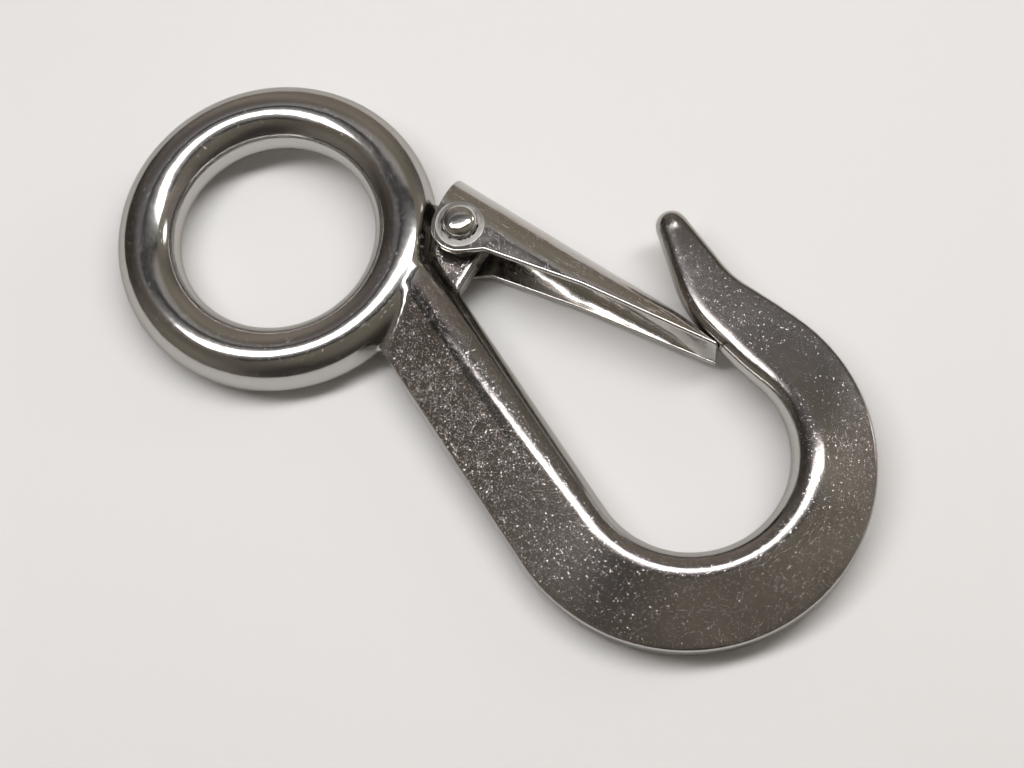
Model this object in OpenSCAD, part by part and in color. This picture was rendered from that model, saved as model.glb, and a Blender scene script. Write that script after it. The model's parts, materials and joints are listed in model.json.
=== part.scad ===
// Eye sling hook with a sprung safety latch.
// The origin is the centre of the eye, in the middle plane of the forging.
// +X runs from the eye to the bowl, +Y points to the latch side, +Z is up.

/* [Eye] */
// Diameter of the hole through the eye
eye_hole_d = 29.6; // [22:0.1:36]
// Diameter of the round bar that the eye is made of
eye_bar_d = 9.4; // [8.8:0.1:11.5]

/* [Forging] */
// Distance from the centre of the eye to the centre of the bowl
reach = 70.3; // [60:0.1:86]
// Radius of the inside of the bowl
bowl_r = 14.2; // [11.5:0.1:17.5]
// Distance of the shank's centre line from the centre of the eye
shank_off = 10.57; // [9.5:0.1:11.5]
// Width of the shank, seen flat on
shank_w = 14.3; // [12:0.1:17.2]
// Width of the bar where the point leaves the bowl
horn_w = 11.2; // [9.5:0.1:13.5]
// Thickness of the forging at its crest
body_t = 9.8; // [8.2:0.1:9.9]
// Thickness of the bowl's upright outer edge
edge_t = 3.8; // [2.8:0.1:4.4]
// Thickness of the shank's outer edge
edge_shank = 1.8; // [1.6:0.1:3]
// Rounding of the outer edge's corners, as a radius
edge_r = 0.5; // [0.4:0.1:0.8]
// Distance of the crest from the inner edge round the bowl
crest_in = 3.4; // [2.6:0.1:4.2]
// Distance of the crest from the shank's inner edge beside the eye
crest_neck = 7; // [5:0.1:7.2]
// Distance of the crest from the inner edge at the root of the point
crest_root = 2.6; // [2.2:0.1:3.4]
// Rounding of the crest round the bowl, as a radius
ridge_r = 4.2; // [2:0.1:4.5]
// Rounding of the crest along the shank, as a radius
ridge_shank = 1; // [0.8:0.1:3]
// Angle round the bowl at which the shank's section has become the bowl's, in degrees
foot_to = 290; // [270:5:330]

/* [Point] */
// Angle round the bowl at which the point leaves it, in degrees
horn_from = 77.5; // [72:0.5:82]
// Straight length between the bowl and the outward bend of the point
horn_root_l = 10; // [8:0.5:13]
// Radius of the outward bend, on the bar's centre line
horn_bend_r = 18; // [12:1:25]
// Angle through which the point bends outward, in degrees
horn_turn = 22; // [15:1:28]
// Straight length from the bend to the centre of the rounded tip
horn_tip_l = 9.2; // [6:0.1:13]
// Thickness of the point above the latch
horn_t = 5; // [4.8:0.1:6.4]
// Angle round the bowl at which the forging begins to thin, in degrees
thin_from = 15; // [0:1:30]
// Distance along the point at which it is down to its own thickness
thin_to = 8; // [5:0.5:12]
// Diameter of the rounded tip
tip_d = 4.7; // [3.6:0.1:6]
// How late the point thins towards its tip: 1 is an even taper
horn_taper = 1.5; // [1:0.1:2.5]

/* [Lug and rivet] */
// Distance from the shank's inner edge to the axis of the rivet
pivot_side = 5.28; // [4.9:0.05:5.8]
// Distance from the outside of the eye to the axis of the rivet
pivot_off = 3.95; // [3.7:0.05:4.8]
// Thickness of the lug that carries the rivet
lug_t = 3.6; // [2.4:0.1:4]
// Radius of the lug's rounded end
lug_r = 4.2; // [3.4:0.1:5]
// Diameter of the rivet's shank
rivet_d = 3; // [2.4:0.1:3.4]
// Diameter of the rivet's heads
rivet_head_d = 5.3; // [4.4:0.1:6.2]
// Height of the upper, domed head
rivet_head_h = 1.7; // [1:0.1:2.4]
// Height of the lower head, which is set flatter
rivet_tail_h = 0.8; // [0.5:0.1:1.4]
// Diameter of the raised seat round each rivet head
boss_d = 7; // [6.6:0.1:8]
// Height of the raised seat above the cheek
boss_h = 0.2; // [0.1:0.05:0.5]

/* [Latch] */
// Thickness of the latch's sheet
sheet = 1; // [0.7:0.05:1.2]
// Distance across the latch's two cheeks, outside
latch_w = 12; // [11.8:0.1:13]
// Distance across the latch at its free end, outside
latch_tip_w = 10; // [8:0.1:11.5]
// Height of the latch's back above the rivet's axis
latch_back = 7.2; // [6.6:0.1:8.5]
// Height of the latch's back where it begins to dip to its free end
latch_knee = 2.5; // [2:0.1:3.2]
// Length of the dip at the free end
latch_dip_l = 8.5; // [6:0.5:11]
// Depth of the cheeks' long edge below the rivet's axis
cheek_drop = 1.15; // [0.6:0.05:1.6]
// Radius of the cheeks' rounded ends
cheek_r = 4.1; // [3.9:0.1:4.6]
// Distance along the point's inner edge at which the latch bears on it
bearing_at = 8; // [6:0.5:9.5]

/* [Spring] */
// Diameter of the spring wire
wire_d = 0.9; // [0.6:0.05:1.1]
// Radius of the coils, to the centre of the wire
coil_r = 2.6; // [2.4:0.05:2.9]
// Whole turns in each coil, besides the part turn that aims its leg
coil_turns = 1; // [1:1:2]
// Length of the two arms that press on the latch's back
arm_l = 9; // [6:0.5:12]
// Length of the two legs that press on the side of the eye
leg_l = 3.9; // [3:0.1:4.2]
// Turn of the legs' tangent points from the line to the centre of the eye, in degrees
leg_turn = 17.8; // [15:0.1:21]

/* [Fits] */
// Running clearance between the rivet and the lug, on the radius
pivot_clear = 0.08; // [0.02:0.01:0.1]
// Clearance between the rivet and the cheeks, on the radius
cheek_clear = 0.02; // [0.01:0.01:0.05]
// Gap between the closed latch and the inside of the point
latch_gap = 0.12; // [0.05:0.01:0.3]
// Gap between the coils and the lug, and between neighbouring turns
coil_gap = 0.2; // [0.1:0.05:0.3]

/* [Hidden] */
$fn = 64;

// Eye
eye_r = (eye_hole_d + eye_bar_d) / 2;
eye_or = eye_r + eye_bar_d / 2;

// The shank leans so that its centre line passes the eye at its offset.
shank_cr = bowl_r + shank_w / 2;
shank_angle = asin((shank_off + shank_cr) / reach);
shank_dir = [cos(shank_angle), -sin(shank_angle)];

// Stations of the bar: each is [x, y, heading, width, thickness, crest, ridge, edge, corner],
// where the crest is its distance from the inner edge, the ridge is the radius that rounds
// it, the edge is the outer edge's thickness and the corner is the radius of its corners.
bowl_from = 270 - shank_angle;
shank_end = [reach + shank_cr * cos(bowl_from), shank_cr * sin(bowl_from)];
shank_start = shank_end - shank_dir * (shank_end * shank_dir);
bowl_step = 5;
bowl_n = ceil((360 + horn_from - bowl_from) / bowl_step);
horn_heading = 90 + horn_from;
horn_bend_l = horn_bend_r * horn_turn * PI / 180;
horn_l = horn_root_l + horn_bend_l + horn_tip_l;
horn_n = 18;
cap_n = 5;

function heading_dir(a) = [cos(a), sin(a)];
function between(u, u0, u1, v0, v1) = v0 + (v1 - v0) * (u - u0) / (u1 - u0);
function bowl_width(a) = a <= 270 ? shank_w
    : (shank_w + horn_w) / 2 - (shank_w - horn_w) / 2 * sin(a);
root_w = bowl_width(360 + horn_from);
function horn_width(s) = root_w - (root_w - tip_d) * pow(s / horn_l, horn_taper);
// Distance along the bar from the bowl's angle at which it begins to thin.
thin_r = bowl_r + root_w / 2;
thin_bowl_l = (horn_from - thin_from) * PI / 180 * thin_r;
function thinned(d) =
    let (f = max(0, min(1, d / (thin_bowl_l + thin_to))))
    body_t - (body_t - horn_t) * (1 - cos(180 * f)) / 2;
function bowl_thick(a) = thinned((a - 360 - thin_from) * PI / 180 * thin_r);
function horn_thick(s) = s < thin_to ? thinned(thin_bowl_l + s)
    : between(s, thin_to, horn_l, horn_t, tip_d);
function bowl_crest(a) = a < 360 ? crest_in
    : between(a, 360, 360 + horn_from, crest_in, crest_root);
// At the tip the crest, the edge and its corners are these shares of the diameter.
tip_crest = 0.4;
tip_edge = 0.8;
tip_corner = 0.36;
function footed(a, v0, v1) = a < foot_to ? between(a, bowl_from, foot_to, v0, v1) : v1;
function bowl_station(a) =
    let (w = bowl_width(a), r = bowl_r + w / 2)
    [reach + r * cos(a), r * sin(a), a + 90, w, bowl_thick(a), bowl_crest(a),
     min(footed(a, ridge_shank, ridge_r), bowl_thick(a) / 2),
     footed(a, edge_shank, edge_t), edge_r];
horn_start = bowl_station(360 + horn_from);
// Centre line of the point at the distance s from the bowl: [x, y, heading].
function horn_at(s) =
    let (p0 = [horn_start[0], horn_start[1]],
         d0 = heading_dir(horn_heading),
         p1 = p0 + d0 * min(s, horn_root_l),
         bent = max(0, min(s - horn_root_l, horn_bend_l)),
         turned = bent / horn_bend_r * 180 / PI,
         centre = p1 + horn_bend_r * [-sin(-horn_heading), -cos(horn_heading)],
         a = horn_heading - turned,
         p2 = bent > 0 ? centre + horn_bend_r * [-sin(a), cos(a)] : p1,
         p3 = p2 + heading_dir(a) * max(0, s - horn_root_l - horn_bend_l))
    [p3[0], p3[1], a];
function horn_station(s) =
    let (p = horn_at(s))
    [p[0], p[1], p[2], horn_width(s), horn_thick(s),
     between(s, 0, horn_l, crest_root, tip_crest * tip_d),
     min(ridge_r, horn_thick(s) / 2),
     between(s, 0, horn_l, edge_t, tip_edge * tip_d),
     between(s, 0, horn_l, edge_r, tip_corner * tip_d)];
// The tip's cap closes the bar as half a ball does.
function cap_station(i) =
    let (lift = 90 * i / cap_n,
         p = horn_at(horn_l + tip_d / 2 * sin(lift)),
         d = tip_d * max(cos(lift), 0.03))
    [p[0], p[1], p[2], d, d, tip_crest * d, d / 2, tip_edge * d, tip_corner * d];
bar_stations = concat(
    [[shank_start[0], shank_start[1], -shank_angle, shank_w, body_t, crest_neck,
      ridge_shank, edge_shank, edge_r]],
    [for (i = [0 : bowl_n - 1])
        bowl_station(bowl_from + i * (360 + horn_from - bowl_from) / bowl_n)],
    [for (i = [0 : horn_n]) horn_station(horn_l * i / horn_n)],
    [for (i = [1 : cap_n]) cap_station(i)]);

// Section of the bar, as [towards the inside, up]. The inner edge is half an oval as high
// as the crest, from which flat faces fall away to the upright outer edge.
quarter_n = 7;
ridge_n = 3;
corner_n = 3;
function bar_section(w, t, crest, ridge, edge, corner) =
    let (n0 = w / 2 - crest, span = w - crest - corner,
         ridge_z = t / 2 - ridge, corner_z = edge / 2 - corner,
         slope = atan2(ridge_z - corner_z, span)
             + asin((ridge - corner) / norm([span, ridge_z - corner_z])),
         inner = [for (i = [0 : quarter_n]) let (q = 90 * i / quarter_n)
             [n0 + crest * cos(q), t / 2 * sin(q)]],
         top_arc = [for (i = [1 : ridge_n]) let (q = slope * i / ridge_n)
             [n0 - ridge * sin(q), ridge_z + ridge * cos(q)]],
         outer = [for (i = [0 : corner_n]) let (q = between(i, 0, corner_n, slope, 90))
             [corner - w / 2 - corner * sin(q), corner_z + corner * cos(q)]],
         top = concat(inner, top_arc, outer, [[-w / 2, 0]]),
         under = [for (i = [len(top) - 2 : -1 : 1]) [top[i][0], -top[i][1]]])
    concat(top, under);
function bar_ring(s) = [for (p = bar_section(s[3], s[4], s[5], s[6], s[7], s[8]))
    [s[0] - p[0] * sin(s[2]), s[1] + p[0] * cos(s[2]), p[1]]];

// Closes a stack of rings into a solid. Each ring has the same even number of points,
// which turn anticlockwise about the direction of travel. Each end is a strip of
// triangles, so a ring may be bent round a hollow, as a trough is.
module skin(rings) {
    n = len(rings[0]);
    m = len(rings);
    points = [for (r = rings) each r];
    sides = [for (j = [0 : m - 2]) for (i = [0 : n - 1]) let (k = (i + 1) % n)
        each [[j * n + i, (j + 1) * n + k, j * n + k],
              [j * n + i, (j + 1) * n + i, (j + 1) * n + k]]];
    strip = [for (i = [0 : n / 2 - 2])
        each [[i, i + 1, n - 2 - i], [i, n - 2 - i, n - 1 - i]]];
    far = (m - 1) * n;
    far_strip = [for (f = strip) [f[2] + far, f[1] + far, f[0] + far]];
    polyhedron(points, concat(sides, strip, far_strip), convexity = 8);
}

// Rivet and latch
pivot_r = eye_or + pivot_off;
pivot_angle = asin((shank_off + shank_w / 2 + pivot_side) / pivot_r) - shank_angle;
pivot = pivot_r * [cos(pivot_angle), sin(pivot_angle)];
cheek_in = latch_w / 2 - sheet;
seat_z = latch_w / 2 + boss_h;
// The latch's own frame has its origin on the rivet's axis and its X towards the
// spot where it bears on the inside of the point.
bearing_c = horn_at(bearing_at);
bearing_half = horn_width(bearing_at) / 2 + latch_gap;
bearing = [bearing_c[0] - bearing_half * sin(bearing_c[2]),
           bearing_c[1] + bearing_half * cos(bearing_c[2])];
latch_l = norm(bearing - pivot);
latch_angle = atan2(bearing[1] - pivot[1], bearing[0] - pivot[0]);
latch_over = 0.4;
knee_u = latch_l - latch_dip_l;
// The cheeks end in an arc round the rivet, which runs into the long edge at a neck.
cheek_y = -0.36;
arc_u = 0.5 * cheek_r;
neck_u = 5;
neck_drop = 2.2;
long_u = 20;
section_n = 12;
min_side = 0.05;

// Height of the latch's back and of its cheeks' edge at the distance u.
function back_v(u) = u < knee_u
    ? latch_back + (latch_knee - latch_back) * u / knee_u
    : latch_knee * (1 - pow((u - knee_u) / latch_dip_l, 1.3));
function cheek_arc_v(u) = cheek_y - sqrt(max(0, cheek_r * cheek_r - u * u));
function edge_v(u) = u <= arc_u ? cheek_arc_v(u)
    : u < neck_u ? between(u, arc_u, neck_u, cheek_arc_v(arc_u), -neck_drop)
    : u < long_u ? between(u, neck_u, long_u, -neck_drop, -cheek_drop)
    : -cheek_drop;
function half_w(u) = u < long_u ? latch_w / 2
    : between(u, long_u, latch_l, latch_w / 2, latch_tip_w / 2);
// Arch of the folded sheet: a round back on straight cheeks, as [along z, along v].
function arch(u, inset) =
    let (h = half_w(u), top = back_v(u), low = edge_v(u),
         rise = min(h, top - low - min_side), foot = top - rise,
         height = max(rise - inset, 0.2 * rise))
    concat([[h - inset, low]],
        [for (i = [0 : section_n]) let (q = 180 * i / section_n)
            [(h - inset) * cos(q), foot + height * sin(q)]],
        [[-h + inset, low]]);
function reversed(list) = [for (i = [len(list) - 1 : -1 : 0]) list[i]];
function latch_ring(u) = [for (p = concat(arch(u, 0), reversed(arch(u, sheet))))
    [u, p[1], -p[0]]];
latch_us = concat(
    [for (a = [180 : -15 : 60]) cheek_r * cos(a)],
    [3.5, neck_u, 8, 12, 16, long_u, 25, knee_u],
    [for (k = [0.3, 0.6, 0.8]) knee_u + k * latch_dip_l],
    [latch_l + latch_over]);

// Spring
coil_z0 = lug_t / 2 + coil_gap + wire_d / 2;
coil_pitch = wire_d + coil_gap / 2;
leg_aim = 180 + pivot_angle - leg_turn - latch_angle;
coil_sweep = 360 * coil_turns + leg_aim - 90;
coil_steps = 14 * (coil_turns + 1);
coil_z1 = coil_z0 + coil_pitch * coil_sweep / 360;
wire_sides = 8;

// Route of one half of the spring, from its leg through the coil to its arm's end.
function coil_at(a) = [coil_r * cos(a), coil_r * sin(a),
    coil_z1 - (coil_z1 - coil_z0) * (a - 90) / coil_sweep];
function half_route() =
    let (a1 = 90 + coil_sweep,
         leg_end = coil_at(a1) + leg_l * [-sin(a1), cos(a1), 0])
    concat([leg_end],
        [for (i = [coil_steps : -1 : 0]) coil_at(90 + coil_sweep * i / coil_steps)],
        [coil_at(90) + [arm_l - wire_d, 0, 0],
         coil_at(90) + [arm_l, 0, -wire_d]]);
function mirrored(list) = [for (p = list) [p[0], p[1], -p[2]]];
spring_route = concat(half_route(), reversed(mirrored(half_route())));
function unit(v) = v / norm(v);
function wire_ring(i) =
    let (last = len(spring_route) - 1,
         t = unit(spring_route[min(i + 1, last)] - spring_route[max(i - 1, 0)]),
         side = unit(cross(abs(t[2]) > 0.9 ? [1, 0, 0] : [0, 0, 1], t)),
         up = cross(t, side))
    [for (k = [0 : wire_sides - 1]) let (q = 360 * k / wire_sides)
        spring_route[i] + wire_d / 2 * (cos(q) * side + sin(q) * up)];

module at_pivot() {
    translate([pivot[0], pivot[1], 0]) rotate([0, 0, latch_angle]) children();
}

module eye() {
    rotate_extrude() translate([eye_r, 0]) circle(d = eye_bar_d);
}

// The bar starts inside the eye's own bar, so its square end never shows.
module bar() {
    difference() {
        skin([for (s = bar_stations) bar_ring(s)]);
        cylinder(r = eye_r, h = 2 * eye_bar_d, center = true);
    }
}

// Thin web between the eye and the shank, rounded about the rivet.
module lug() {
    root = 0.97 * lug_r;
    foot_x = pivot[0] + root;
    foot_y = shank_start[1] - (foot_x - shank_start[0]) * tan(shank_angle);
    difference() {
        union() {
            translate([pivot[0], pivot[1], 0]) cylinder(r = lug_r, h = lug_t, center = true);
            linear_extrude(height = lug_t, center = true) polygon([
                [pivot[0] + root, pivot[1]],
                [foot_x, foot_y],
                [eye_r * cos(8), eye_r * sin(8)],
                [eye_r * cos(45), eye_r * sin(45)],
                [pivot[0] - 0.4 * lug_r, pivot[1] + 0.88 * lug_r]]);
        }
        translate([pivot[0], pivot[1], 0])
            cylinder(d = rivet_d + 2 * pivot_clear, h = 2 * lug_t, center = true);
    }
}

module hook_body() {
    color([0.46, 0.45, 0.43]) union() {
        eye();
        bar();
        lug();
    }
}

module boss(side) {
    boss_t = seat_z - cheek_in - boss_h;
    translate([0, 0, side * (seat_z - boss_t / 2)])
        cylinder(d = boss_d, h = boss_t, center = true);
}

module latch() {
    color([0.55, 0.53, 0.5]) at_pivot() difference() {
        union() {
            skin([for (u = latch_us) latch_ring(u)]);
            for (side = [-1, 1]) boss(side);
        }
        cylinder(d = rivet_d + 2 * cheek_clear, h = 4 * latch_w, center = true);
    }
}

// Cap of a ball, standing on z = 0.
module dome(d, h) {
    ball_r = (d * d / 4 + h * h) / (2 * h);
    intersection() {
        translate([0, 0, h - ball_r]) sphere(r = ball_r);
        cylinder(d = d, h = h);
    }
}

module pivot_rivet() {
    color([0.66, 0.65, 0.63]) at_pivot() union() {
        cylinder(d = rivet_d, h = 2 * seat_z, center = true);
        translate([0, 0, seat_z]) dome(rivet_head_d, rivet_head_h);
        mirror([0, 0, 1]) translate([0, 0, seat_z]) dome(rivet_head_d, rivet_tail_h);
    }
}

module latch_spring() {
    color([0.6, 0.59, 0.57]) at_pivot()
        skin([for (i = [0 : len(spring_route) - 1]) wire_ring(i)]);
}

hook_body();
latch();
pivot_rivet();
latch_spring();
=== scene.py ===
"""Eye sling hook: the finished look of the forging, its sprung latch, rivet and spring."""
import json
import math

import bpy
import bmesh
import numpy as np
from mathutils import Matrix, Vector


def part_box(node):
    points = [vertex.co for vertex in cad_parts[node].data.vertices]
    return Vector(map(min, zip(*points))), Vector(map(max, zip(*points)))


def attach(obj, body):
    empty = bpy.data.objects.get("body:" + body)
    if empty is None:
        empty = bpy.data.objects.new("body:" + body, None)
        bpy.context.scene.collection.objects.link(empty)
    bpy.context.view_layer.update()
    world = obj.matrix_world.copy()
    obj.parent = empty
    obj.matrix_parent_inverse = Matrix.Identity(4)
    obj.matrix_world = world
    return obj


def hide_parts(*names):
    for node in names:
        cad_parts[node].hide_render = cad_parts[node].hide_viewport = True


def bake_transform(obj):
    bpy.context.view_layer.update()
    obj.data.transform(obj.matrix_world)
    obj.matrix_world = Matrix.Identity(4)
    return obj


bl_info = {
    "name": "Eye Sling Hook",
    "version": (1, 0, 0),
    "blender": (4, 5, 0),
    "location": "3D View > Sidebar > Sling Hook",
    "description": "Builds a stainless eye sling hook with a sprung safety latch",
    "category": "Object",
}

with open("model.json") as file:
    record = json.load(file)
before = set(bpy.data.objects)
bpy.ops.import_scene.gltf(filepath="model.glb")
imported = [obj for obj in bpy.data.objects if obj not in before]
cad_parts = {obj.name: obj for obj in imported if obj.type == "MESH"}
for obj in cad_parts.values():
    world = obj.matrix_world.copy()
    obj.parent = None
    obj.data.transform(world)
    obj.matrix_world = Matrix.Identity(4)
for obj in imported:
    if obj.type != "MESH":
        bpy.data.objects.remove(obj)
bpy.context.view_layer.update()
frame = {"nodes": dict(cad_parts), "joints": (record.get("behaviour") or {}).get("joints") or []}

MM = 0.001
HINGE = frame["joints"][0]
PIVOT = Vector(HINGE["pos_m"]) / MM
EYE_OUTER = -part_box("hook_body")[0].x / MM
SEAT_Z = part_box("latch")[1].z / MM


def length(name, description, value_mm):
    return bpy.props.FloatProperty(
        name=name, description=description, default=value_mm * MM, unit="LENGTH", precision=4
    )


def angle(name, description, degrees):
    return bpy.props.FloatProperty(
        name=name, description=description, default=math.radians(degrees), unit="ROTATION"
    )


def factor(name, description, value):
    return bpy.props.FloatProperty(name=name, description=description, default=value)


def colour(name, description, rgb):
    return bpy.props.FloatVectorProperty(
        name=name, description=description, default=rgb, size=3, subtype="COLOR", min=0, max=1
    )


class ForgingSettings(bpy.types.PropertyGroup):
    """Sizes of the forged body."""

    bar: length("Eye Bar", "Diameter of the round bar of the eye", 9.4)
    reach: length("Reach", "From the centre of the eye to the centre of the bowl", 70.3)
    bowl: length("Bowl Radius", "Inside radius of the bowl", 14.2)
    offset: length("Shank Offset", "From the shank's centre line to the eye's centre", 10.57)
    shank: length("Shank Width", "Width of the shank, seen flat on", 14.3)
    horn: length("Point Width", "Width where the point leaves the bowl", 11.2)
    thick: length("Thickness", "Thickness of the forging at its crest", 9.8)
    edge: length("Edge", "Thickness of the bowl's upright outer edge", 3.8)
    edge_shank: length("Shank Edge", "Thickness of the shank's outer edge", 1.8)
    corner: length("Edge Corner", "Radius of the outer edge's corners", 0.5)
    crest: length("Crest", "From the bowl's inner edge to the crest", 3.4)
    crest_neck: length("Neck Crest", "From the shank's inner edge to the crest at the eye", 7)
    crest_root: length("Root Crest", "From the inner edge to the crest at the point", 2.6)
    ridge: length("Ridge", "Radius that rounds the crest of the bowl", 4.2)
    ridge_shank: length("Shank Ridge", "Radius that rounds the crest of the shank", 1)
    foot_to: angle("Foot End", "Angle round the bowl where the shank's section has ended", 290)
    horn_from: angle("Point Start", "Angle round the bowl where the point leaves", 77.5)
    horn_root: length("Point Root", "Straight length before the outward bend", 10)
    horn_bend: length("Bend Radius", "Radius of the outward bend", 18)
    horn_turn: angle("Bend Turn", "Angle of the outward bend", 22)
    horn_tip: length("Tip Length", "Straight length after the outward bend", 9.2)
    tip: length("Tip Diameter", "Diameter of the rounded tip", 4.7)
    horn_thick: length("Point Thickness", "Thickness of the point above the latch", 5)
    thin_from: angle("Thinning Start", "Angle round the bowl where the forging begins to thin", 15)
    thin_to: length("Thinning End", "Where on the point it is down to its own thickness", 8)
    taper: factor("Taper", "1 is even, more keeps the root of the point full", 1.5)
    lug: length("Lug Thickness", "Thickness of the lug under the latch", 3.6)
    lug_end: length("Lug Radius", "Radius of the lug's rounded end", 4.2)
    bore: length("Lug Bore", "Diameter of the hole for the rivet", 3.16)
    neck_drop: length("Neck Drop", "How much thinner the shank is beside the eye", 1.8)
    fillet: length("Neck Blend", "Softness of the corner between eye and shank", 0.9)
    cell: length("Cell", "Size of the cells that the skin is drawn from", 0.45)


class LatchSettings(bpy.types.PropertyGroup):
    """Sizes of the folded latch."""

    sheet: length("Sheet", "Thickness of the sheet", 1)
    width: length("Width", "Outside width across the cheeks", 12)
    tip_width: length("Tip Width", "Outside width at the free end", 10)
    back: length("Back", "Height of the back above the rivet", 7.2)
    knee: length("Knee", "Height of the back where it begins to dip", 2.5)
    dip: length("Dip", "Length of the dip at the free end", 8.5)
    drop: length("Cheek Depth", "Depth of the long edge below the rivet", 1.15)
    neck: length("Cheek Neck", "Depth of the edge where the rounded end runs out", 2.2)
    heel: length("Cheek End", "Radius of the rounded ends of the cheeks", 4.1)
    bearing: length("Bearing", "Where the latch bears, measured along the point", 8)
    gap: length("Gap", "Gap between the closed latch and the point", 0.12)
    seat: length("Seat", "Diameter of the raised seat round the rivet", 7)
    edge: length("Edge Rounding", "Rounding of the sheet's cut edge", 0.3)


class RivetSettings(bpy.types.PropertyGroup):
    """Sizes of the rivet and the spring."""

    shank: length("Rivet Shank", "Diameter of the rivet", 3)
    head: length("Rivet Head", "Diameter of both heads", 5.3)
    dome: length("Dome", "Height of the upper head", 1.7)
    tail: length("Tail", "Height of the lower head", 0.8)
    wire: length("Wire", "Diameter of the spring wire", 0.9)
    coil: length("Coil", "Radius of the coils at the wire's centre", 2.6)
    coil_foot: length("Coil Foot", "Height of the inner end of each coil", 2.45)
    coil_pitch: length("Coil Pitch", "Distance between turns", 1)
    arm: length("Arm", "Length of the arms under the latch's back", 9)
    leg: length("Leg", "Length of the legs that press on the eye", 3.9)
    leg_turn: angle("Leg Turn", "Turn of the legs from the line to the eye's centre", 17.8)


class FinishSettings(bpy.types.PropertyGroup):
    """Colours of the metals and the floor."""

    steel: colour("Forging", "Stainless steel of the forging", (0.50, 0.485, 0.465))
    sheet: colour("Sheet", "Stainless sheet of the latch", (0.52, 0.50, 0.475))
    rivet: colour("Rivet", "Rivet and wire", (0.62, 0.605, 0.58))
    floor: colour("Floor", "Pale floor", (0.80, 0.795, 0.785))


# ---- formulas in nodes


def feed(tree, slot, term):
    """Links a socket or a Formula to the slot, or sets a plain value on it."""
    if isinstance(term, Formula):
        term = term.socket
    if isinstance(term, bpy.types.NodeSocket):
        tree.links.new(term, slot)
    else:
        slot.default_value = term


def add_node(tree, kind, inputs=None, **choices):
    """New node with its choices set; inputs maps a slot's name or number to what feeds it."""
    made = tree.nodes.new(kind)
    for key, value in choices.items():
        setattr(made, key, value)
    for key, term in (inputs or {}).items():
        feed(tree, made.inputs[key], term)
    return made


def vector_math(tree, operation, *terms):
    """Result of a Vector Math node; the second term of SCALE is its factor."""
    slots = (0, "Scale") if operation == "SCALE" else (0, 1)
    made = add_node(tree, "ShaderNodeVectorMath", dict(zip(slots, terms)), operation=operation)
    return made.outputs["Value" if operation in {"LENGTH", "DOT_PRODUCT"} else "Vector"]


def both_sides(operation):
    """Methods of a Formula for one operator, with the Formula on its left and on its right."""

    def left(self, other):
        return self.node(operation, self, other)

    def right(self, other):
        return self.node(operation, other, self)

    return left, right


class Formula:
    """A number that changes over space. Ordinary operators on it add Math nodes."""

    def __init__(self, tree, socket):
        self.tree = tree
        self.socket = socket

    def node(self, operation, *terms):
        made = add_node(self.tree, "ShaderNodeMath", dict(enumerate(terms)), operation=operation)
        return Formula(self.tree, made.outputs[0])

    __add__, __radd__ = both_sides("ADD")
    __sub__, __rsub__ = both_sides("SUBTRACT")
    __mul__, __rmul__ = both_sides("MULTIPLY")
    __truediv__, __rtruediv__ = both_sides("DIVIDE")
    __pow__ = both_sides("POWER")[0]

    def __neg__(self):
        return self * -1.0


def one(operation, *terms):
    """The Math node of that name on the terms, of which at least one is a Formula."""
    home = next(t for t in terms if isinstance(t, Formula))
    return home.node(operation, *terms)


def least(first, *rest):
    for term in rest:
        first = one("MINIMUM", first, term)
    return first


def most(first, *rest):
    for term in rest:
        first = one("MAXIMUM", first, term)
    return first


def share(value):
    """The value kept between 0 and 1."""
    return least(most(value, 0.0), 1.0)


def split_xyz(tree, place):
    """The three coordinates of a place, each as a Formula."""
    split = add_node(tree, "ShaderNodeSeparateXYZ", {0: place})
    return [Formula(tree, out) for out in split.outputs]


def ramp(value, low, high):
    """0 below low, 1 above high and a soft rise between. High may lie below low."""
    made = add_node(value.tree, "ShaderNodeMapRange",
                    {"Value": value, "From Min": low, "From Max": high},
                    interpolation_type="SMOOTHSTEP")
    return Formula(value.tree, made.outputs[0])


def new_group(name, kind, inputs, outputs):
    """New node group; an input's value is its default, or the kind of socket as a word."""
    tree = bpy.data.node_groups.new(name, kind)
    for label, value in inputs.items():
        word = value if isinstance(value, str) else "Float"
        made = tree.interface.new_socket(label, in_out="INPUT", socket_type="NodeSocket" + word)
        if not isinstance(value, str):
            made.default_value = value
    for label, word in outputs.items():
        tree.interface.new_socket(label, in_out="OUTPUT", socket_type="NodeSocket" + word)
    entry = tree.nodes.new("NodeGroupInput").outputs
    leave = tree.nodes.new("NodeGroupOutput").inputs
    return tree, entry, leave


def merge(a, b, softness):
    """The union of two distances with a soft corner between them."""
    return one("SMOOTH_MIN", a, b, softness)


def hypot(a, b):
    return one("SQRT", a * a + b * b)


def along(x, y, origin, heading):
    """Distances along a direction and to its left from a point in the plane."""
    dx, dy = x - origin.x, y - origin.y
    c, s = math.cos(heading), math.sin(heading)
    return dx * c + dy * s, dy * c - dx * s


def turned(heading):
    return Vector((math.cos(heading), math.sin(heading)))


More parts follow.
